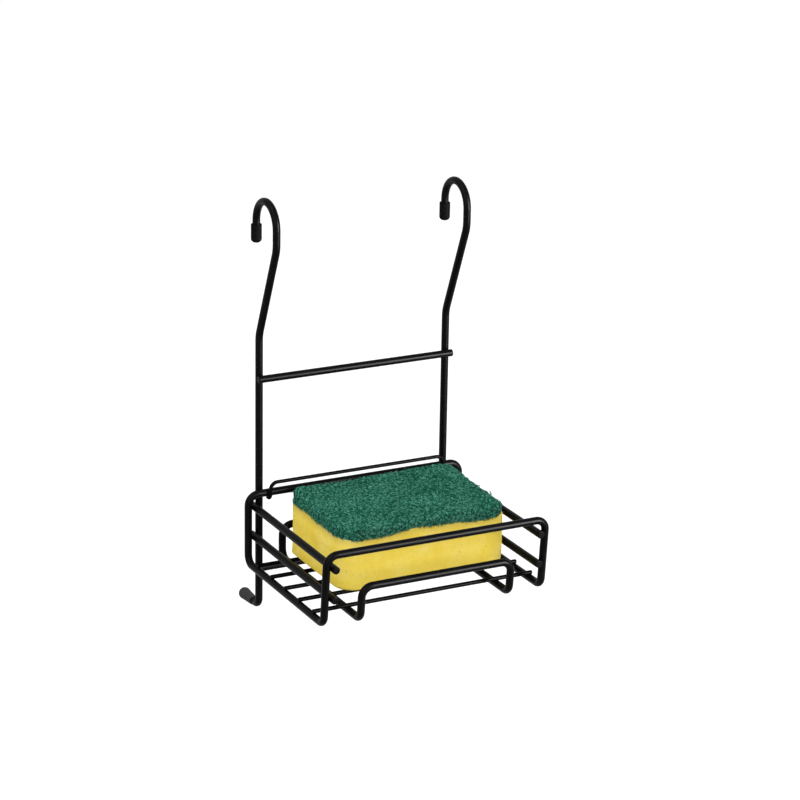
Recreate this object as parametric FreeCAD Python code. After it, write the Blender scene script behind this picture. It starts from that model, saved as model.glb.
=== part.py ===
import FreeCAD, Part
import math
import os

os.makedirs("parts", exist_ok=True)
V = FreeCAD.Vector

# Sponge holder of welded black wire that hangs by two hooks.
# Millimetres. Origin at the centre of the hooks' round seat, midway between them.
# X runs across the holder, Y runs back to the wall and Z is up.

# Wire sizes and the round seat under the hooks
hook_seat_dia = 16.0
wire = 5.2
spreader_wire = 5.0
raised_wire = 2.55
floor_wire = 2.95
weld_sink = 0.1
end_round = 0.6

# Sponge
sponge_length = 121.0
sponge_depth = 83.3
foam_height = 36.1
pad_height = 8.2
sponge_corner = 8.0
foam_foot_inset = 1.0
foam_top_inset = 0.3
foam_edge_radius = 4.0
pad_rim_inset = 0.5
pad_rim_radius = 2.2
pad_crown = 1.0

# Room around the sponge in the basket
room_left = 20.6
room_right = 3.7
room_front = 29.1
room_back = 0.9
room_under = 0.3

# Hangers
hook_radius = 15.9
hook_tip_leg = 12.6
hook_front_leg = 12.7
slant_bend = 20.0
slant_drop = 65.5
upright_setback = 11.3
foot_bend = 5.5
foot_reach = 24.4

# Heights along the uprights
slant_to_spreader = 29.3
spreader_to_basket = 80.9
basket_height = 48.8
tray_height = 23.2
lower_spreader_drop = 5.2
foot_drop = 34.8

# Basket and tray loops
front_lean = 4.1
top_bend = 7.5
floor_bend = 6.5
tray_inset = 25.4
tray_forward = 2.1
upper_rail_drop = 9.35
lower_rail_drop = 30.8
rail_front_end = 4.6
rail_back_end = 1.2
spreader_overhang = 2.9

# Raised rail and floor wires
raised_height = 7.9
raised_tail = 1.5
raised_bend = 5.0
raised_end_inset = 14.8
floor_count = 5
floor_front_margin = 14.4
floor_back_margin = 17.3
floor_overhang = 1.3

# Rubber caps
cap_fit = 0.05
hook_cap_dia = 7.3
hook_cap_length = 12.4
hook_cap_end = 2.6
foot_cap_mouth_dia = 6.3
foot_cap_dia = 8.2
foot_cap_flat = 4.0
foot_cap_length = 18.4
foot_cap_taper = 13.6
foot_cap_end = 2.8


def weld(first, second):
    """Centre distance of two round wires that are welded side by side."""
    return (first + second)/2 - weld_sink


# Places across the holder
side_rail_x = (sponge_length + room_left + room_right + wire)/2
basket_x = side_rail_x + weld(wire, wire)
hanger_x = side_rail_x - weld(wire, wire)
tray_x = basket_x - tray_inset
sponge_right = side_rail_x - wire/2 - room_right
sponge_x = sponge_right - sponge_length/2

# Places from the wall side to the front
back_y = upright_setback - weld(wire, wire)
upper_spreader_y = upright_setback - weld(wire, spreader_wire)
raised_y = back_y - weld(wire, raised_wire)
sponge_back = raised_y - raised_wire/2 - room_back
sponge_y = sponge_back - sponge_depth/2
front_y = sponge_back - sponge_depth - room_front
foot_end_y = upright_setback + foot_reach

# Heights from the hooks' seat down
hook_top_z = (hook_seat_dia + wire)/2
hook_z = hook_top_z - hook_radius
hook_tip_z = hook_z - hook_tip_leg
slant_top_z = hook_z - hook_front_leg
slant_foot_z = slant_top_z - slant_drop
upper_spreader_z = slant_foot_z - slant_to_spreader
basket_top_z = upper_spreader_z - spreader_to_basket
floor_z = basket_top_z - basket_height
tray_top_z = floor_z + tray_height
lower_spreader_z = floor_z - lower_spreader_drop
foot_z = floor_z - foot_drop
floor_wire_z = floor_z + weld(wire, floor_wire)
foam_z = floor_wire_z + floor_wire/2 + room_under
pad_z = foam_z + foam_height


def bent_wire(points, bends, dia, closed=False):
    """Round wire along straight runs that are joined by tangent bends."""
    count = len(points)
    entries = {}
    middles = {}
    exits = {}
    for i in range(count) if closed else range(1, count - 1):
        corner = points[i]
        back = (points[i - 1] - corner).normalize()
        ahead = (points[(i + 1) % count] - corner).normalize()
        half = back.getAngle(ahead)/2
        bisector = (back + ahead).normalize()
        entries[i] = corner + back*(bends[i]/math.tan(half))
        exits[i] = corner + ahead*(bends[i]/math.tan(half))
        middles[i] = corner + bisector*(bends[i]/math.sin(half) - bends[i])
    edges = []
    for i in range(count if closed else count - 1):
        j = (i + 1) % count
        start = exits.get(i, points[i])
        end = entries.get(j, points[j])
        if (end - start).Length > 1e-6:
            edges.append(Part.LineSegment(start, end).toShape())
        if j in entries:
            edges.append(Part.Arc(entries[j], middles[j], exits[j]).toShape())
    first = edges[0]
    start = first.valueAt(first.FirstParameter)
    section = Part.Circle(start, first.tangentAt(first.FirstParameter), dia/2)
    return Part.Wire(edges).makePipe(Part.Face(Part.Wire(section.toShape())))


def rounded_ends(shape, *ends):
    """The wire with the rims of its cut ends rounded."""
    rims = [e for e in shape.Edges if any((e.CenterOfMass - p).Length < 1e-6 for p in ends)]
    return shape.makeFillet(end_round, rims)


def rod(start, end, dia):
    """Straight round wire between two points."""
    cylinder = Part.makeCylinder(dia/2, (end - start).Length, start, end - start)
    return rounded_ends(cylinder, start, end)


def notched(shape, *neighbours):
    """The shape with its welds hollowed so that it only touches its neighbours."""
    for neighbour in neighbours:
        shape = shape.cut(neighbour)
    return shape.Solids[0]


def hanger(x):
    """Hook, slant back, upright and foot of one hanger."""
    points = [
        V(x, hook_radius, hook_tip_z),
        V(x, hook_radius, hook_top_z),
        V(x, -hook_radius, hook_top_z),
        V(x, -hook_radius, slant_top_z),
        V(x, upright_setback, slant_foot_z),
        V(x, upright_setback, foot_z),
        V(x, foot_end_y, foot_z),
    ]
    bends = [0, hook_radius, hook_radius, slant_bend, slant_bend, foot_bend, 0]
    return bent_wire(points, bends, wire)


def loop_frame(half_width, top_z, front):
    """Closed loop with two floor runners, upright back corners and a leaning front."""
    rise = top_z - floor_z
    lean = front_lean*rise/basket_height
    right = [
        V(half_width, back_y, top_z),
        V(half_width, back_y, floor_z),
        V(half_width, front, floor_z),
        V(half_width, front - lean, top_z),
    ]
    left = [V(-p.x, p.y, p.z) for p in reversed(right)]
    bends = [top_bend, floor_bend, floor_bend, top_bend]
    return bent_wire(right + left, bends + bends, wire, closed=True)


def side_rail(side, drop):
    """Straight rail between the upright and the basket's outer verticals."""
    z = basket_top_z - drop
    lean = front_lean*(z - floor_z)/basket_height
    start = V(side*side_rail_x, upright_setback + rail_back_end, z)
    end = V(side*side_rail_x, front_y - lean - rail_front_end, z)
    return rod(start, end, wire)


def spreader(y, z, dia):
    """Straight wire across both uprights."""
    reach = hanger_x + spreader_overhang
    return rod(V(-reach, y, z), V(reach, y, z), dia)


def raised_rail():
    """Thin rail above the back top rail, with legs that hook under it from the front."""
    x = basket_x - raised_end_inset
    hug = weld(wire, raised_wire)
    right = [
        V(x, raised_y, basket_top_z + raised_height),
        V(x, raised_y, basket_top_z - hug),
        V(x, back_y + raised_tail, basket_top_z - hug),
    ]
    left = [V(-p.x, p.y, p.z) for p in reversed(right)]
    points = left + right
    rail = bent_wire(points, [0, hug, raised_bend, raised_bend, hug, 0], raised_wire)
    return rounded_ends(rail, points[0], points[-1])


def sleeve(body, place, axis, length):
    """Body with a blind hole for the wire, bored from its open end."""
    return body.cut(Part.makeCylinder(wire/2 + cap_fit, length, place, axis)).Solids[0]


def hook_cap(x):
    """Rubber cap with a rounded end on the hook's tip."""
    end = V(x, hook_radius, hook_tip_z - hook_cap_end)
    body = Part.makeCylinder(hook_cap_dia/2, hook_cap_length, end)
    rims = [e for e in body.Edges if e.Closed and abs(e.CenterOfMass.z - end.z) < 1e-6]
    body = body.makeFillet(min(hook_cap_end, 0.4*hook_cap_dia), rims)
    tip = V(x, hook_radius, hook_tip_z)
    return sleeve(body, tip, V(0, 0, 1), hook_cap_length)


def foot_cap(x):
    """Rubber bumper that swells towards its rounded end at the wall."""
    wall_y = foot_end_y + foot_cap_end
    mouth_y = wall_y - foot_cap_length
    belly_y = mouth_y + foot_cap_taper
    nose = wall_y - belly_y
    shoulder = (foot_cap_dia - foot_cap_flat)/2
    middle = V(0, belly_y + nose*math.sin(math.pi/4), foot_cap_flat/2 + shoulder*math.cos(math.pi/4))
    mouth = V(0, mouth_y, foot_cap_mouth_dia/2)
    belly = V(0, belly_y, foot_cap_dia/2)
    rim = V(0, wall_y, foot_cap_flat/2)
    outline = [
        Part.LineSegment(V(0, mouth_y, 0), mouth).toShape(),
        Part.LineSegment(mouth, belly).toShape(),
        Part.Arc(belly, middle, rim).toShape(),
        Part.LineSegment(rim, V(0, wall_y, 0)).toShape(),
        Part.LineSegment(V(0, wall_y, 0), V(0, mouth_y, 0)).toShape(),
    ]
    body = Part.Face(Part.Wire(outline)).revolve(V(), V(0, 1, 0), 360)
    body.translate(V(x, 0, foot_z))
    return sleeve(body, V(x, foot_end_y, foot_z), V(0, -1, 0), foot_cap_length)


def rounded_section(inset, z):
    """Rounded rectangle of the sponge's plan, drawn in by an inset, at one height."""
    half_x = sponge_length/2 - inset
    half_y = sponge_depth/2 - inset
    radius = sponge_corner
    edges = []
    for turn in range(4):
        a, b = (half_x, half_y) if turn % 2 == 0 else (half_y, half_x)
        spin = FreeCAD.Rotation(V(0, 0, 1), 90*turn)
        diagonal = radius*(1 - math.sqrt(0.5))
        stations = [
            V(a, radius - b, 0),
            V(a, b - radius, 0),
            V(a - diagonal, b - diagonal, 0),
            V(a - radius, b, 0),
        ]
        start, entry, middle, leave = [spin.multVec(p) for p in stations]
        edges.append(Part.LineSegment(start, entry).toShape())
        edges.append(Part.Arc(entry, middle, leave).toShape())
    section = Part.Wire(edges)
    section.translate(V(sponge_x, sponge_y, z))
    return section


def sponge_foam():
    """Foam block with rounded corners, full sides and drawn-in lower edges."""
    sections = [
        rounded_section(foam_foot_inset, foam_z),
        rounded_section(0.0, foam_z + 0.5*foam_height),
        rounded_section(foam_top_inset, pad_z),
    ]
    block = Part.makeLoft(sections, True)
    lower_rim = [e for e in block.Edges if e.BoundBox.ZMax < foam_z + foam_edge_radius]
    return block.makeFillet(foam_edge_radius, lower_rim)


def scouring_pad():
    """Pad on the foam with soft edges and a slightly crowned top."""
    sections = [
        rounded_section(foam_top_inset, pad_z),
        rounded_section(0.0, pad_z + 0.45*pad_height),
        rounded_section(pad_rim_inset, pad_z + pad_height),
    ]
    slab = Part.makeLoft(sections, True)
    half_diagonal = math.hypot(sponge_length, sponge_depth)/2
    radius = (half_diagonal**2 + pad_crown**2)/(2*pad_crown)
    dome = Part.makeSphere(radius, V(sponge_x, sponge_y, pad_z + pad_height - radius))
    crowned = slab.common(dome).Solids[0]
    upper_rim = [e for e in crowned.Edges if e.BoundBox.ZMin > pad_z + 0.7*pad_height]
    return crowned.makeFillet(pad_rim_radius, upper_rim)


pieces = {}
sides = {"left": -1, "right": 1}
for name, side in sides.items():
    pieces[name + "_hanger"] = hanger(side*hanger_x)
    pieces[name + "_hook_cap"] = hook_cap(side*hanger_x)
    pieces[name + "_foot_cap"] = foot_cap(side*hanger_x)
hangers = [pieces["left_hanger"], pieces["right_hanger"]]

upper = spreader(upper_spreader_y, upper_spreader_z, spreader_wire)
lower = spreader(back_y, lower_spreader_z, wire)
pieces["upper_spreader"] = notched(upper, *hangers)
pieces["lower_spreader"] = notched(lower, *hangers)
pieces["basket_frame"] = notched(loop_frame(basket_x, basket_top_z, front_y), *hangers)
pieces["tray_frame"] = loop_frame(tray_x, tray_top_z, front_y - tray_forward)
frames = [pieces["basket_frame"], pieces["tray_frame"]]

for name, side in sides.items():
    for level, drop in (("upper", upper_rail_drop), ("lower", lower_rail_drop)):
        rail = notched(side_rail(side, drop), pieces["basket_frame"], pieces[name + "_hanger"])
        pieces[name + "_" + level + "_side_rail"] = rail

pieces["raised_back_rail"] = notched(raised_rail(), pieces["basket_frame"])

floor_span = back_y - floor_back_margin - front_y - floor_front_margin
for k in range(floor_count):
    y = front_y + floor_front_margin + k*floor_span/(floor_count - 1)
    reach = basket_x + floor_overhang
    bar = rod(V(-reach, y, floor_wire_z), V(reach, y, floor_wire_z), floor_wire)
    pieces["floor_wire_%d" % (k + 1)] = notched(bar, *frames)

pieces["sponge_foam"] = sponge_foam()
pieces["scouring_pad"] = scouring_pad()

for name, shape in pieces.items():
    shape.exportStep("parts/" + name + ".step")
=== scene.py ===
"""Sponge holder of black coated wire with a foam sponge: looks, light and camera."""
import math

import bmesh
import bpy
import numpy as np
from mathutils import Matrix, Vector, noise


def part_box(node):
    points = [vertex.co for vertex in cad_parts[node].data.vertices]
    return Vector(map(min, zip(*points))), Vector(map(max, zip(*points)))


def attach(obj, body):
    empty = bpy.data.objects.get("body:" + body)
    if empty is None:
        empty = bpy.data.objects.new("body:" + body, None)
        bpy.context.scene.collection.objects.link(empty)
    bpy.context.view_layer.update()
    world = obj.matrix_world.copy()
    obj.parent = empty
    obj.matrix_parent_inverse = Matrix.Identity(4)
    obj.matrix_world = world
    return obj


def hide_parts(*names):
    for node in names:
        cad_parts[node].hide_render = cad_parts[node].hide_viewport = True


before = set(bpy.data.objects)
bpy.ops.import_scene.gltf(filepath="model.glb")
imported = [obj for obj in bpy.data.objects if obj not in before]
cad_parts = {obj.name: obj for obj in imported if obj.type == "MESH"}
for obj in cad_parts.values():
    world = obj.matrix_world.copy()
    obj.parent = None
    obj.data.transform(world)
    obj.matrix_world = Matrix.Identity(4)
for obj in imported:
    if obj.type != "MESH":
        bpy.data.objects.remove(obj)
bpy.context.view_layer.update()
scene = bpy.context.scene
scene.view_settings.view_transform = "Standard"
rng = np.random.default_rng(7)
MM = 0.001
WHITE = (1.0, 1.0, 1.0, 1.0)

# Grid of the soft blocks
EDGE_STEPS = 4
FOAM_CELL = 2.0*MM
FELT_CELL = 1.0*MM

# Unevenness of the foam and the felt
FOOT_SHARE = 0.4
FOOT_LEAN = 0.7*MM
FOOT_DRAW = 0.4*MM
FOAM_BROAD_SWAY = 0.25*MM
FOAM_FINE_SWAY = 0.10*MM
FELT_SWELL = 0.35*MM
FELT_TUFT = 0.9*MM
FELT_RAGGED = 0.40*MM
FELT_TUCK = 0.9*MM
# Depth in millimetres of the painted shade on the foam under the pad's edge
BOND_SHADE_DEPTH = 7.0

# Felt fibres
FIBRE_POINTS = 4
TOP_FIBRES = 9000
RIM_FIBRES = 3000
FRINGE_FIBRES = 2000
FIBRE_LENGTH = 3.2*MM
FIBRE_THICK = 0.42*MM
FRINGE_THICK = 0.20*MM
FRINGE_MEAN_DROP = 0.55*MM
FRINGE_LONGEST_DROP = 1.8*MM
ROOT_SPREAD = 0.5*MM
ROOT_SINK = 0.12*MM
END_TAPER = 0.6
UPWARD = 0.5
CELL_MARGIN = 0.08
CELL_SPAN = 0.84

# Floor and background
FLOOR_HALF = 4.0
FLOOR_Z = -0.46
FLOOR_GREY = (0.16, 0.16, 0.16, 1.0)
FLOOR_GLOW = 0.94
FILL_STRENGTH = 0.40
BACKDROP_STRENGTH = 1.0

# Camera of the photograph
VIEW_TARGET = Vector((0.00238, -0.05386, -0.11888))
VIEW_AZIMUTH = math.radians(-27.349)
VIEW_ELEVATION = math.radians(18.668)
VIEW_ROLL = math.radians(0.987)
VIEW_DISTANCE = 1.93
SENSOR_WIDTH = 36.0
LENS = 131.48
CLIP_START = 0.05
CLIP_END = 50.0


# Node helpers

def new_tree(material):
    """Empties a material's node tree and returns it."""
    material.use_nodes = True
    material.node_tree.nodes.clear()
    return material.node_tree


def node(tree, kind, values=None, **settings):
    """Adds a node, sets its properties and its unlinked inputs."""
    made = tree.nodes.new(kind)
    for key, value in settings.items():
        setattr(made, key, value)
    for key, value in (values or {}).items():
        made.inputs[key].default_value = value
    return made


def link(tree, source, target):
    """Links an output socket to an input socket."""
    tree.links.new(source, target)


def ramp(tree, source, stops):
    """Colour ramp with the given (position, colour) stops."""
    made = node(tree, "ShaderNodeValToRGB")
    elements = made.color_ramp.elements
    while len(elements) < len(stops):
        elements.new(0.5)
    for element, (position, colour) in zip(elements, stops):
        element.position = position
        element.color = (*colour, 1.0)
    link(tree, source, made.inputs["Fac"])
    return made.outputs["Color"]


def map_range(tree, source, low, high, to_low, to_high):
    """Maps a value from one range to another, held at both ends."""
    ends = {"From Min": low, "From Max": high, "To Min": to_low, "To Max": to_high}
    made = node(tree, "ShaderNodeMapRange", ends)
    link(tree, source, made.inputs["Value"])
    return made.outputs["Result"]


def new_group(name, inputs, outputs):
    """Starts a shader node group with named float inputs and outputs."""
    group = bpy.data.node_groups.new(name, "ShaderNodeTree")
    for label in inputs:
        group.interface.new_socket(name=label, in_out="INPUT", socket_type="NodeSocketFloat")
    for label in outputs:
        group.interface.new_socket(name=label, in_out="OUTPUT", socket_type="NodeSocketFloat")
    entry = group.nodes.new("NodeGroupInput")
    leave = group.nodes.new("NodeGroupOutput")
    return group, entry, leave


# Shared surface effects

def coat_grain_group():
    """Orange peel of a coating or moulding: a soft mottle and a fine height."""
    inputs = ["Peel Scale", "Mottle Scale"]
    group, entry, leave = new_group("coat_grain", inputs, ["Mottle", "Height"])
    place = node(group, "ShaderNodeTexCoord")
    peel = node(group, "ShaderNodeTexNoise", {"Detail": 3.0, "Roughness": 0.55})
    mottle = node(group, "ShaderNodeTexNoise", {"Detail": 4.0, "Roughness": 0.6})
    for texture, label in zip((peel, mottle), inputs):
        link(group, place.outputs["Object"], texture.inputs["Vector"])
        link(group, entry.outputs[label], texture.inputs["Scale"])
    link(group, mottle.outputs["Fac"], leave.inputs["Mottle"])
    link(group, peel.outputs["Fac"], leave.inputs["Height"])
    return group


def speckle_group():
    """Fine random speckle over a broad unevenness, for foam and felt."""
    inputs = ["Speck Scale", "Speck Detail", "Patch Scale"]
    group, entry, leave = new_group("speckle", inputs, ["Speck", "Patch"])
    place = node(group, "ShaderNodeTexCoord")
    speck = node(group, "ShaderNodeTexNoise", {"Roughness": 0.6})
    patch = node(group, "ShaderNodeTexNoise", {"Detail": 3.0, "Roughness": 0.5})
    for texture, label in ((speck, "Speck Scale"), (patch, "Patch Scale")):
        link(group, place.outputs["Object"], texture.inputs["Vector"])
        link(group, entry.outputs[label], texture.inputs["Scale"])
    link(group, entry.outputs["Speck Detail"], speck.inputs["Detail"])
    link(group, speck.outputs["Fac"], leave.inputs["Speck"])
    link(group, patch.outputs["Fac"], leave.inputs["Patch"])
    return group


coat_grain = coat_grain_group()
speckle = speckle_group()


def place_group(tree, group, **values):
    """Places a shared effect in a material with its own values."""
    made = node(tree, "ShaderNodeGroup", node_tree=group)
    for label, value in values.items():
        made.inputs[label.replace("_", " ")].default_value = value
    return made


def finish_material(tree, colour, roughness, height, bump_strength, bump_distance, shine):
    """Principled surface fed by a colour, a roughness and a bump height."""
    surface = node(tree, "ShaderNodeBsdfPrincipled", {"Specular IOR Level": shine})
    bump = node(tree, "ShaderNodeBump", {"Strength": bump_strength, "Distance": bump_distance})
    leave = node(tree, "ShaderNodeOutputMaterial")
    link(tree, colour, surface.inputs["Base Color"])
    link(tree, roughness, surface.inputs["Roughness"])
    link(tree, height, bump.inputs["Height"])
    link(tree, bump.outputs["Normal"], surface.inputs["Normal"])
    link(tree, surface.outputs["BSDF"], leave.inputs["Surface"])


# Materials

def black_coat_material(name, shine):
    """Satin black powder coat with a faint orange peel."""
    material = bpy.data.materials.new(name)
    tree = new_tree(material)
    grain = place_group(tree, coat_grain, Peel_Scale=1300.0, Mottle_Scale=45.0)
    stops = [(0.35, (0.0010, 0.0010, 0.0011)), (0.65, (0.0026, 0.0025, 0.0027))]
    colour = ramp(tree, grain.outputs["Mottle"], stops)
    roughness = map_range(tree, grain.outputs["Mottle"], 0.3, 0.7, 0.30, 0.38)
    height = grain.outputs["Height"]
    finish_material(tree, colour, roughness, height, bump_strength=0.08, bump_distance=0.0002, shine=shine)
    return material


def cap_rubber_material(name, dark, pale, shine):
    """Matt rubber with a fine moulded grain, mottled between two greys."""
    material = bpy.data.materials.new(name)
    tree = new_tree(material)
    grain = place_group(tree, coat_grain, Peel_Scale=2600.0, Mottle_Scale=220.0)
    stops = [(0.3, (dark, dark, 1.03*dark)), (0.7, (pale, pale, 1.03*pale))]
    colour = ramp(tree, grain.outputs["Mottle"], stops)
    roughness = map_range(tree, grain.outputs["Mottle"], 0.3, 0.7, 0.60, 0.78)
    height = grain.outputs["Height"]
    finish_material(tree, colour, roughness, height, bump_strength=0.25, bump_distance=0.0002, shine=shine)
    return material


def yellow_foam_material():
    """Yellow open-cell foam with fine pores in painted shade, soft ochre patches and painted shade under
    the bond.
    """
    material = bpy.data.materials.new("yellow_foam")
    tree = new_tree(material)
    grain = place_group(tree, speckle, Speck_Scale=300.0, Speck_Detail=4.0, Patch_Scale=70.0)
    place = node(tree, "ShaderNodeTexCoord")
    pores = node(tree, "ShaderNodeTexVoronoi", {"Scale": 480.0, "Randomness": 1.0})
    link(tree, place.outputs["Object"], pores.inputs["Vector"])
    size = map_range(tree, pores.outputs["Color"], 0.45, 1.0, 0.0, 0.40)
    depth = node(tree, "ShaderNodeMath", operation="SUBTRACT")
    link(tree, pores.outputs["Distance"], depth.inputs[0])
    link(tree, size, depth.inputs[1])
    skin = map_range(tree, depth.outputs["Value"], -0.06, 0.10, 0.0, 1.0)
    patches = [(0.30, (0.83, 0.61, 0.070)), (0.52, (0.86, 0.66, 0.100)), (0.74, (0.87, 0.69, 0.160))]
    specks = [(0.30, (0.93, 0.92, 0.80)), (0.60, (1.0, 1.0, 1.0))]
    tone = ramp(tree, grain.outputs["Patch"], patches)
    speck = ramp(tree, grain.outputs["Speck"], specks)
    speckled = node(tree, "ShaderNodeMix", {"Factor": 0.55}, data_type="RGBA", blend_type="MULTIPLY")
    link(tree, tone, speckled.inputs["A"])
    link(tree, speck, speckled.inputs["B"])
    # Painted shade: the foam darkens just under the pad's edge, where the pad shades it
    bond = node(tree, "ShaderNodeAttribute", attribute_name="painted_bond_shade")
    bond_shaded = node(tree, "ShaderNodeMix", data_type="RGBA", blend_type="MULTIPLY")
    bond_shaded.inputs["B"].default_value = (0.80, 0.81, 0.98, 1.0)
    link(tree, bond.outputs["Fac"], bond_shaded.inputs["Factor"])
    link(tree, speckled.outputs["Result"], bond_shaded.inputs["A"])
    # Painted shade in the pores: they darken to a deeper ochre
    pore_shaded = node(tree, "ShaderNodeMix", data_type="RGBA", blend_type="MIX")
    pore_shaded.inputs["A"].default_value = (0.78, 0.575, 0.065, 1.0)
    link(tree, skin, pore_shaded.inputs["Factor"])
    link(tree, bond_shaded.outputs["Result"], pore_shaded.inputs["B"])
    relief = node(tree, "ShaderNodeMath", {1: 0.35}, operation="MULTIPLY_ADD")
    link(tree, grain.outputs["Speck"], relief.inputs[0])
    link(tree, skin, relief.inputs[2])
    colour = pore_shaded.outputs["Result"]
    roughness = map_range(tree, grain.outputs["Speck"], 0.2, 0.8, 0.82, 0.96)
    height = relief.outputs["Value"]
    finish_material(tree, colour, roughness, height, bump_strength=0.30, bump_distance=0.0003, shine=0.06)
    return material


def green_felt_material(name, stops):
    """Green non-woven fibre, mottled between dark gaps and pale flecks; the dark tones are painted shade
    of the gaps between fibres.
    """
    material = bpy.data.materials.new(name)
    tree = new_tree(material)
    grain = place_group(tree, speckle, Speck_Scale=610.0, Speck_Detail=1.5, Patch_Scale=60.0)
    mixed = node(tree, "ShaderNodeMath", {1: 0.15}, operation="MULTIPLY_ADD")
    link(tree, grain.outputs["Patch"], mixed.inputs[0])
    link(tree, grain.outputs["Speck"], mixed.inputs[2])
    colour = ramp(tree, mixed.outputs["Value"], stops)
    roughness = map_range(tree, grain.outputs["Speck"], 0.2, 0.8, 0.62, 0.85)
    height = grain.outputs["Speck"]
    finish_material(tree, colour, roughness, height, bump_strength=0.6, bump_distance=0.0005, shine=0.04)
    return material


black_coat = black_coat_material("black_powder_coat", shine=0.035)
thin_coat = black_coat_material("thin_wire_powder_coat", shine=0.015)
# Hook caps get a near-black copy of the grey cap rubber: painted shade of the rail that the hooks hang on
rail_shaded_hook_rubber = cap_rubber_material("hook_rubber_painted_rail_shade", dark=0.002, pale=0.004, shine=0.025)
foot_rubber = cap_rubber_material("grey_foot_rubber", dark=0.020, pale=0.036, shine=0.08)
yellow_foam = yellow_foam_material()
# The base felt is a darker copy of the fibre: painted shade of the gaps deep between the fibres
felt_base_painted_gap_shade = green_felt_material("green_felt_base_painted_gap_shade", [
    (0.44, (0.0014, 0.030, 0.018)),
    (0.57, (0.0060, 0.077, 0.047)),
    (0.70, (0.024, 0.136, 0.088)),
])
green_fibre = green_felt_material("green_felt_fibre", [
    (0.44, (0.0026, 0.060, 0.035)),
    (0.57, (0.0180, 0.146, 0.093)),
    (0.70, (0.105, 0.312, 0.223)),
])


def dress_wire():
    """Gives every wire and cap its material."""
    for name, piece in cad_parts.items():
        finish = black_coat
        if name.endswith("_hook_cap"):
            finish = rail_shaded_hook_rubber
        elif name.endswith("_foot_cap"):
            finish = foot_rubber
        elif name == "raised_back_rail" or name.startswith("floor_wire"):
            finish = thin_coat
        piece.data.materials.clear()
        piece.data.materials.append(finish)


# Sponge

def sponge_box():
    """Lower and upper corner of the whole sponge and the height of its bond, in metres."""
    foam_low, foam_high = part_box("sponge_foam")
    pad_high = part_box("scouring_pad")[1]
    return Vector(foam_low), Vector(pad_high), foam_high[2]


sponge_low, sponge_high, bond_z = sponge_box()


def stations(length, cell, fine_low, fine_high):
    """Grid places from 0 to 1 along a side: finer inside the rounded edges, even between them."""
    steps = np.arange(EDGE_STEPS)/EDGE_STEPS
    count = max(4, round((length - fine_low - fine_high)/cell))
    middle = np.linspace(fine_low, length - fine_high, count + 1)
    places = np.concatenate([fine_low*steps, middle, length - fine_high*steps[::-1]])
    return (places/length).tolist()


def surface_grid(places):
    """Closed box mesh of unit size, with a grid of the given places on all six faces."""
    mesh = bmesh.new()
    points = {}
    counts = [len(along) - 1 for along in places]

    def corner(i, j, k):
        if (i, j, k) not in points:
            points[i, j, k] = mesh.verts.new((places[0][i], places[1][j], places[2][k]))
        return points[i, j, k]

    def side(axis, at_end):
        u, v = (axis + 1) % 3, (axis + 2) % 3
        for a in range(counts[u]):
            for b in range(counts[v]):
                loop = []
                for da, db in ((0, 0), (1, 0), (1, 1), (0, 1)):
                    index = [0, 0, 0]
                    index[axis] = counts[axis] if at_end else 0
                    index[u] = a + da
                    index[v] = b + db
                    loop.append(corner(*index))
                mesh.faces.new(loop if at_end else reversed(loop))

    for axis in range(3):
        side(axis, False)
        side(axis, True)
    return mesh


def rounded_corner(offset_a, offset_b):
    """Pulls a square corner's offsets onto concentric quarter circles."""
    length = math.hypot(offset_a, offset_b)
    if length == 0.0:
        return offset_a, offset_b
    factor = max(abs(offset_a), abs(offset_b))/length
    return offset_a*factor, offset_b*factor


def round_plan(x, y, rise, half_x, half_y, corners):
    """Rounds the upright corners of a rectangle seen from above, each by its lower and upper radius."""
    lower, upper = corners[(x > 0) + 2*(y > 0)]
    radius = lower + (upper - lower)*rise
    inner_x = max(-half_x + radius, min(half_x - radius, x))
    inner_y = max(-half_y + radius, min(half_y - radius, y))
    dx, dy = rounded_corner(x - inner_x, y - inner_y)
    return inner_x + dx, inner_y + dy


def soft_noise(point, size, seed):
    """Smooth noise between about -1 and 1 with features of the given size."""
    return noise.noise(point/size + Vector((seed, 1.7*seed, 0.6*seed)))


def smooth_step(value, start, end):
    """Smooth rise from 0 at start to 1 at end."""
    along = max(0.0, min(1.0, (value - start)/(end - start)))
    return along*along*(3.0 - 2.0*along)


def hump(value, middle, width):
    """Smooth hump of height 1 round a middle."""
    return math.exp(-((value - middle)/width)**2)


# In the two lift functions the places, widths and heights are millimetres.

def bond_lift(x, y):
    """Height of the wavy bond over its mean: it sags, and arches up in the middle of the front."""
    x, y = x/MM, y/MM
    at_front = smooth_step(-y, 45, 80)
    ends = 1.0*smooth_step(-x, 40, 52) + 1.7*smooth_step(x, 57, 69)
    arch = 2.4*hump(x, 1, 14) + 1.5*hump(x, 27, 13)
    back_left = smooth_step(y, -42, -28)*smooth_step(-x, 30, 50)
    return (0.35 + 0.9*back_left + at_front*(-0.8 + arch + ends))*MM


def pad_lift(x, y):
    """Height of the pad's worn top over its mean: raised along the back, with a dip left of the middle."""
    x, y = x/MM, y/MM
    at_back = smooth_step(y, -45, -5)
    raised = 1.7 + 0.9*hump(x, 52, 16) - 1.0*hump(x, -12, 13) + 1.0*hump(x, -51, 9)
    return (at_back*raised - 0.3)*MM


def new_piece(name, data):
    """Smooth-shaded object of a mesh, placed in the scene."""
    data.polygons.foreach_set("use_smooth", [True]*len(data.polygons))
    piece = bpy.data.objects.new(name, data)
    scene.collection.objects.link(piece)
    return piece


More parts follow.
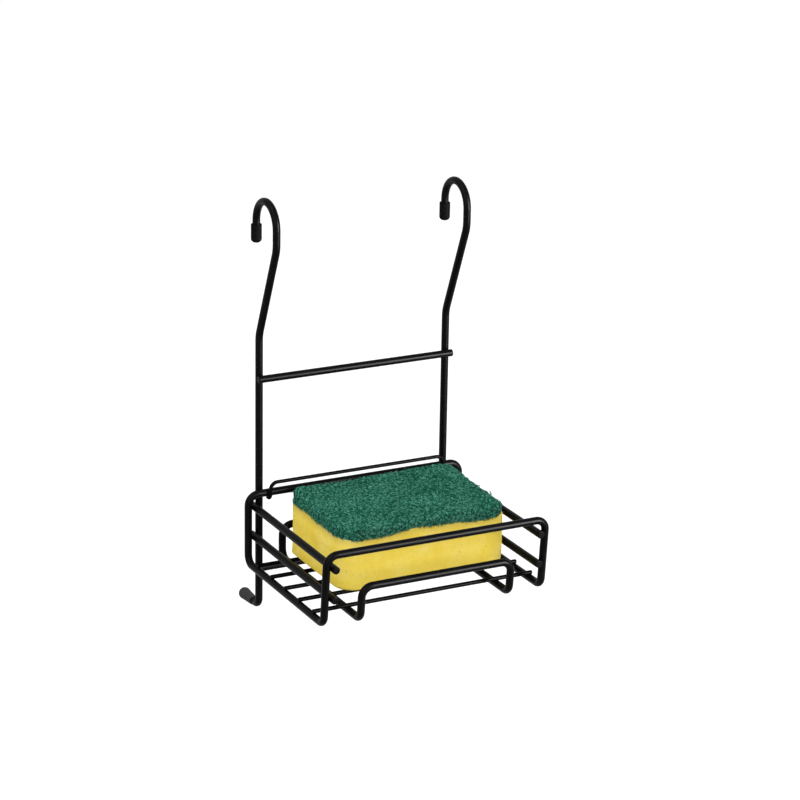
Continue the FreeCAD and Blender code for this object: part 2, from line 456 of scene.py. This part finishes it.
def soft_block(name, low, high, corners, edge_low, edge_high, cell, shape):
    """Rounded block whose points are then moved by a shaping function."""
    size = high - low
    centre = (low + high)/2
    fine = max(edge_low, edge_high)
    level = [stations(length, cell, fine, fine) for length in size.xy]
    mesh = surface_grid([*level, stations(size.z, cell, edge_low, edge_high)])
    for vert in mesh.verts:
        x, y, z = [(c - 0.5)*s for c, s in zip(vert.co, size)]
        depth = min(size.x/2 - abs(x), size.y/2 - abs(y))
        edge = edge_low if z < 0 else edge_high
        rise = size.z/2 - abs(z)
        inward = 0.0
        if depth < edge and rise < edge:
            out, up = rounded_corner(edge - depth, edge - rise)
            inward = (edge - out) - depth
            z = math.copysign(size.z/2 - (edge - up), z)
        x, y = round_plan(x, y, vert.co.z, size.x/2, size.y/2, corners)
        x -= inward*x/(size.x/2)
        y -= inward*y/(size.y/2)
        vert.co = shape(Vector((x, y, z)) + centre)
    bmesh.ops.recalc_face_normals(mesh, faces=mesh.faces)
    data = bpy.data.meshes.new(name)
    mesh.to_mesh(data)
    mesh.free()
    return new_piece(name, data)


def shape_foam(point):
    """Uneven cut faces, a foot that leans to the left and a top that follows the bond."""
    rise = (point.z - sponge_low.z)/(bond_z - sponge_low.z)
    centre = (sponge_low + sponge_high)/2
    across = point.x - centre.x
    along = point.y - centre.y
    foot = (1.0 - min(1.0, rise/FOOT_SHARE))**2
    moved = point.copy()
    moved.x -= FOOT_LEAN*foot*abs(across)/(sponge_high.x - centre.x)
    moved.y -= FOOT_DRAW*foot*along/(sponge_high.y - centre.y)
    moved.z += rise**3*bond_lift(point.x, point.y)
    broad = FOAM_BROAD_SWAY*soft_noise(point, size=26*MM, seed=3)
    fine = FOAM_FINE_SWAY*soft_noise(point, size=7*MM, seed=9)
    sway = broad + fine
    moved.x += sway*math.copysign(1.0, across)*min(1.0, abs(across)/(40*MM))
    moved.y -= 0.6*abs(sway)*math.copysign(1.0, along)
    return moved


def shape_felt(point):
    """Uneven felt: wavy lower edge, worn top, ragged sides and a front right corner that is tucked in."""
    rise = (point.z - bond_z)/(sponge_high.z - bond_z)
    centre = (sponge_low + sponge_high)/2
    swell = FELT_SWELL*soft_noise(point, size=30*MM, seed=5)
    ragged = FELT_RAGGED*soft_noise(point, size=3.0*MM, seed=17)
    tuck = FELT_TUCK*smooth_step(point.x/MM, 40, 69)*smooth_step(-point.y/MM, 52, 72)
    moved = point.copy()
    moved.z += (1.0 - rise)*bond_lift(point.x, point.y)
    moved.z += rise*(pad_lift(point.x, point.y) + swell)
    moved.z += (rise - 0.3)*FELT_TUFT*soft_noise(point, size=2.2*MM, seed=11)
    moved.x += ragged*(point.x - centre.x)/(sponge_high.x - centre.x) - tuck
    moved.y += ragged*(point.y - centre.y)/(sponge_high.y - centre.y)
    return moved


def face_data(data):
    """Areas, centres and normals of a mesh's faces."""
    count = len(data.polygons)
    area = np.empty(count)
    centre = np.empty(count*3)
    normal = np.empty(count*3)
    data.polygons.foreach_get("area", area)
    data.polygons.foreach_get("center", centre)
    data.polygons.foreach_get("normal", normal)
    return area, centre.reshape(-1, 3), normal.reshape(-1, 3)


def unit(rows):
    """Rows scaled to unit length."""
    return rows/np.linalg.norm(rows, axis=1)[:, None]


def flatten(rows, normals):
    """Rows with their part along the normals taken out."""
    return rows - normals*np.sum(rows*normals, 1)[:, None]


def on_top(centre, normal):
    """Picks the faces that look up."""
    return normal[:, 2] > UPWARD


def on_sides(centre, normal):
    """Picks the faces that look sideways."""
    return np.abs(normal[:, 2]) <= UPWARD


def on_lower_rim(centre, normal):
    """Picks the side faces just over the bond."""
    return (np.abs(normal[:, 2]) < 0.6) & (centre[:, 2] < bond_z + 2.5*MM)


def scatter(base, count, wanted):
    """Random roots by area on the wanted faces of a felt, with the faces' normals."""
    area, centre, normal = face_data(base.data)
    weight = np.where(wanted(centre, normal), area, 0.0)
    chosen = rng.choice(len(area), count, p=weight/weight.sum())
    out = normal[chosen]
    return centre[chosen] + flatten(rng.normal(0, ROOT_SPREAD, (count, 3)), out), out


def lying_fibres(base, count, wanted):
    """Lines of bent fibres that lie on a felt and arch a little out of it."""
    root, out = scatter(base, count, wanted)
    aim = unit(flatten(rng.normal(0, 1, (count, 3)), out))
    side = np.cross(out, aim)
    span = FIBRE_LENGTH*rng.uniform(0.6, 1.3, (count, 1))
    loose = rng.uniform(0, 1, (count, 1))
    arch = (0.10 + 0.45*loose + 0.45*loose**6)*MM
    bow = rng.normal(0, 0.32, (count, 1))*span
    line = []
    for t in np.linspace(0, 1, FIBRE_POINTS):
        bend = 4*t*(1 - t)
        line.append(root + aim*(t - 0.5)*span + side*bow*bend + out*(arch*bend - ROOT_SINK))
    return np.stack(line, 1), side, out


def fringe_fibres(base, count):
    """Lines of fine fibres that hang from the pad's lower rim over the foam."""
    root, out = scatter(base, count, on_lower_rim)
    out = unit(out*np.array([1.0, 1.0, 0.0]))
    down = np.array([[0.0, 0.0, -1.0]])
    side = np.cross(out, down)
    bond = np.array([bond_z + bond_lift(x, y) for x, y, z in root])
    above = np.maximum(root[:, 2] - bond, 0.0)[:, None]
    drop = above + np.minimum(rng.exponential(FRINGE_MEAN_DROP, (count, 1)), FRINGE_LONGEST_DROP)
    slant = rng.normal(0, 0.35, (count, 1))
    bow = rng.normal(0, 0.20, (count, 1))
    line = []
    for t in np.linspace(0, 1, FIBRE_POINTS):
        sway = (slant*t + bow*4*t*(1 - t))*drop
        line.append(root + down*drop*t + side*sway + out*(0.10 + 0.30*t)*MM)
    return np.stack(line, 1), side, out


def fibre_cells(count, points):
    """Map places of the tubes' face corners, with one square cell for each tube."""
    cells = math.ceil(math.sqrt(count))
    corner = np.stack([np.arange(count) % cells, np.arange(count)//cells], 1)

    def placed(shape):
        inset = CELL_MARGIN + CELL_SPAN*np.array(shape)
        return ((corner[:, None, :] + inset[None])/cells).reshape(-1, 2)

    places = []
    for s in range(points - 1):
        near, far = s/(points - 1), (s + 1)/(points - 1)
        for k in range(3):
            places.append(placed([(near, k/3), (near, (k + 1)/3), (far, (k + 1)/3), (far, k/3)]))
    places.append(placed([(0.0, 0.0), (0.2, 0.0), (0.0, 0.2)]))
    places.append(placed([(1.0, 1.0), (0.8, 1.0), (1.0, 0.8)]))
    return np.concatenate(places)


def tube_mesh(name, line, side, out, thick):
    """Three-sided tapered tubes along lines of points, each in its own cell of one map."""
    count, points = line.shape[:2]
    turn = np.arange(3)*2*math.pi/3
    ring = np.cos(turn)[:, None]*side[:, None, None, :] + np.sin(turn)[:, None]*out[:, None, None, :]
    radius = 0.5*thick*rng.uniform(0.75, 1.25, (count, 1, 1, 1))
    taper = np.ones((1, points, 1, 1))
    taper[:, (0, -1)] = END_TAPER
    verts = (line[:, :, None, :] + radius*taper*ring).reshape(-1, 3)
    first = np.arange(count)*3*points
    quads = []
    for s in range(points - 1):
        for k in range(3):
            here = first + 3*s + k
            there = first + 3*s + (k + 1) % 3
            quads.append(np.stack([here, there, there + 3, here + 3], 1))
    last = first + 3*points - 3
    near_end = np.stack([first + 2, first + 1, first], 1)
    far_end = np.stack([last, last + 1, last + 2], 1)
    faces = np.concatenate(quads).tolist() + np.concatenate([near_end, far_end]).tolist()
    data = bpy.data.meshes.new(name)
    data.from_pydata(verts.tolist(), [], faces)
    data.uv_layers.new(name="OFBake").data.foreach_set("uv", fibre_cells(count, points).ravel())
    return new_piece(name, data)


def mark_painted_bond_shade(piece):
    """Stores on each point how near it lies under the bond, for the painted shade that the pad's edge
    casts on the foam.
    """
    nearness = []
    for vert in piece.data.vertices:
        depth = bond_z + bond_lift(vert.co.x, vert.co.y) - vert.co.z
        nearness.append(1.0 - smooth_step(depth/MM, 0.0, BOND_SHADE_DEPTH))
    piece.data.attributes.new("painted_bond_shade", "FLOAT", "POINT").data.foreach_set("value", nearness)


def dress(piece, material, body, replaced=()):
    """Gives a new piece its material, its body and what it stands for."""
    piece.data.materials.append(material)
    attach(piece, body)
    if replaced:
        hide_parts(*replaced)


def make_sponge():
    """Foam block, felt pad and the pad's loose fibres."""
    foam_top = Vector((sponge_high.x, sponge_high.y, bond_z))
    pad_foot = Vector((sponge_low.x, sponge_low.y, bond_z))
    # Lower and upper radius of the front left, front right, back left and back right corner
    foam_corners = [(14.0*MM, 10.5*MM), (7.0*MM, 7.0*MM), (5.5*MM, 5.5*MM), (7.0*MM, 7.0*MM)]
    pad_corners = [(11.5*MM, 12.0*MM), (8.0*MM, 8.0*MM), (8.0*MM, 9.0*MM), (8.0*MM, 8.0*MM)]
    foam = soft_block("foam_block", sponge_low, foam_top, foam_corners,
                      edge_low=1.4*MM, edge_high=0.6*MM, cell=FOAM_CELL, shape=shape_foam)
    felt = soft_block("felt_pad", pad_foot, sponge_high, pad_corners,
                      edge_low=0.6*MM, edge_high=2.6*MM, cell=FELT_CELL, shape=shape_felt)
    mark_painted_bond_shade(foam)
    top_fibres = tube_mesh("felt_fibres", *lying_fibres(felt, TOP_FIBRES, on_top), FIBRE_THICK)
    rim_fibres = tube_mesh("felt_rim_fibres", *lying_fibres(felt, RIM_FIBRES, on_sides), FIBRE_THICK)
    fringe = tube_mesh("felt_fringe", *fringe_fibres(felt, FRINGE_FIBRES), FRINGE_THICK)
    dress(foam, yellow_foam, "sponge", ["sponge_foam"])
    dress(felt, felt_base_painted_gap_shade, "sponge", ["scouring_pad"])
    for fibres in (top_fibres, rim_fibres, fringe):
        dress(fibres, green_fibre, "sponge")


# Floor, light and camera

def backdrop_rays(tree):
    """Mask of the rays that see the plain white background."""
    rays = node(tree, "ShaderNodeLightPath")
    both = node(tree, "ShaderNodeMath", operation="MAXIMUM")
    seen = node(tree, "ShaderNodeMath", operation="MAXIMUM")
    link(tree, rays.outputs["Is Camera Ray"], both.inputs[0])
    link(tree, rays.outputs["Is Glossy Ray"], both.inputs[1])
    link(tree, both.outputs["Value"], seen.inputs[0])
    link(tree, rays.outputs["Is Transmission Ray"], seen.inputs[1])
    return seen.outputs["Value"]


def make_world():
    """White background for the camera and soft grey fill for the object."""
    world = bpy.data.worlds.new("studio")
    scene.world = world
    world.use_nodes = True
    tree = world.node_tree
    tree.nodes.clear()
    fill = node(tree, "ShaderNodeBackground", {"Color": WHITE, "Strength": FILL_STRENGTH})
    white = node(tree, "ShaderNodeBackground", {"Color": WHITE, "Strength": BACKDROP_STRENGTH})
    mix = node(tree, "ShaderNodeMixShader")
    leave = node(tree, "ShaderNodeOutputWorld")
    link(tree, backdrop_rays(tree), mix.inputs["Fac"])
    link(tree, fill.outputs["Background"], mix.inputs[1])
    link(tree, white.outputs["Background"], mix.inputs[2])
    link(tree, mix.outputs["Shader"], leave.inputs["Surface"])


def floor_material():
    """Pale paint that glows for the rays of the background and is clear from below."""
    material = bpy.data.materials.new("pale_floor")
    tree = new_tree(material)
    paint = node(tree, "ShaderNodeBsdfDiffuse", {"Color": FLOOR_GREY})
    glow = node(tree, "ShaderNodeEmission", {"Color": WHITE})
    glow_strength = node(tree, "ShaderNodeMath", {1: FLOOR_GLOW}, operation="MULTIPLY")
    both = node(tree, "ShaderNodeAddShader")
    clear = node(tree, "ShaderNodeBsdfTransparent")
    side = node(tree, "ShaderNodeNewGeometry")
    from_above = node(tree, "ShaderNodeMixShader")
    leave = node(tree, "ShaderNodeOutputMaterial")
    link(tree, backdrop_rays(tree), glow_strength.inputs[0])
    link(tree, glow_strength.outputs["Value"], glow.inputs["Strength"])
    link(tree, paint.outputs["BSDF"], both.inputs[0])
    link(tree, glow.outputs["Emission"], both.inputs[1])
    link(tree, side.outputs["Backfacing"], from_above.inputs["Fac"])
    link(tree, both.outputs["Shader"], from_above.inputs[1])
    link(tree, clear.outputs["BSDF"], from_above.inputs[2])
    link(tree, from_above.outputs["Shader"], leave.inputs["Surface"])
    return material


def make_floor():
    """Plain pale floor some way under the hanging holder."""
    turns = ((-1, -1), (1, -1), (1, 1), (-1, 1))
    corners = [(a*FLOOR_HALF, b*FLOOR_HALF, FLOOR_Z) for a, b in turns]
    data = bpy.data.meshes.new("floor")
    data.from_pydata(corners, [], [(0, 1, 2, 3)])
    floor = bpy.data.objects.new("floor", data)
    scene.collection.objects.link(floor)
    data.materials.append(floor_material())


def direction(azimuth, elevation):
    """Unit vector from the object towards an azimuth and elevation, in radians."""
    level = math.cos(elevation)
    return Vector((math.sin(azimuth)*level, -math.cos(azimuth)*level, math.sin(elevation)))


def make_lamp(name, azimuth, elevation, distance, width, height, power, lights=True, mirrors=True):
    """Soft rectangular lamp that faces the view's target, with its azimuth taken from the camera's."""
    data = bpy.data.lights.new(name, "AREA")
    data.shape = "RECTANGLE"
    data.size = width
    data.size_y = height
    data.energy = power
    lamp = bpy.data.objects.new(name, data)
    scene.collection.objects.link(lamp)
    back = direction(VIEW_AZIMUTH + math.radians(azimuth), math.radians(elevation))
    lamp.location = VIEW_TARGET + back*distance
    lamp.rotation_euler = back.to_track_quat("Z", "Y").to_euler()
    lamp.visible_diffuse = lights
    lamp.visible_glossy = mirrors


def make_lamps():
    """Soft boxes round the holder, and a strip that only shows as a streak on the wires."""
    # Azimuth and elevation in degrees, distance, width and height in metres, power in watts
    make_lamp("front_soft_box", -24, 26, 1.6, 1.4, 0.9, 14.5)
    make_lamp("right_soft_box", 45, 18, 1.7, 1.1, 0.9, 19.2)
    make_lamp("low_left_soft_box", -72, -5, 1.2, 0.7, 0.3, 1.8, mirrors=False)
    make_lamp("right_strip_box", 62, 6, 1.6, 0.40, 0.85, 140, lights=False)
    make_lamp("top_soft_box", -60, 60, 1.6, 0.9, 0.9, 14.7)
    make_lamp("back_soft_box", 195, 18, 1.7, 1.2, 0.9, 13.5, mirrors=False)
    make_lamp("far_side_soft_box", 118, 15, 1.7, 1.2, 0.9, 10.5, mirrors=False)


def make_camera():
    """Camera at the photograph's place, with its slight roll."""
    data = bpy.data.cameras.new("camera")
    data.sensor_width = SENSOR_WIDTH
    data.lens = LENS
    data.clip_start = CLIP_START
    data.clip_end = CLIP_END
    camera = bpy.data.objects.new("camera", data)
    scene.collection.objects.link(camera)
    back = direction(VIEW_AZIMUTH, VIEW_ELEVATION)
    right = Vector((math.cos(VIEW_AZIMUTH), math.sin(VIEW_AZIMUTH), 0.0))
    up = back.cross(right)
    rolled_right = right*math.cos(VIEW_ROLL) + up*math.sin(VIEW_ROLL)
    rolled_up = up*math.cos(VIEW_ROLL) - right*math.sin(VIEW_ROLL)
    turn = Matrix((rolled_right, rolled_up, back)).transposed().to_4x4()
    camera.matrix_world = Matrix.Translation(VIEW_TARGET + back*VIEW_DISTANCE) @ turn
    scene.camera = camera


dress_wire()
make_sponge()
make_world()
make_floor()
make_lamps()
make_camera()
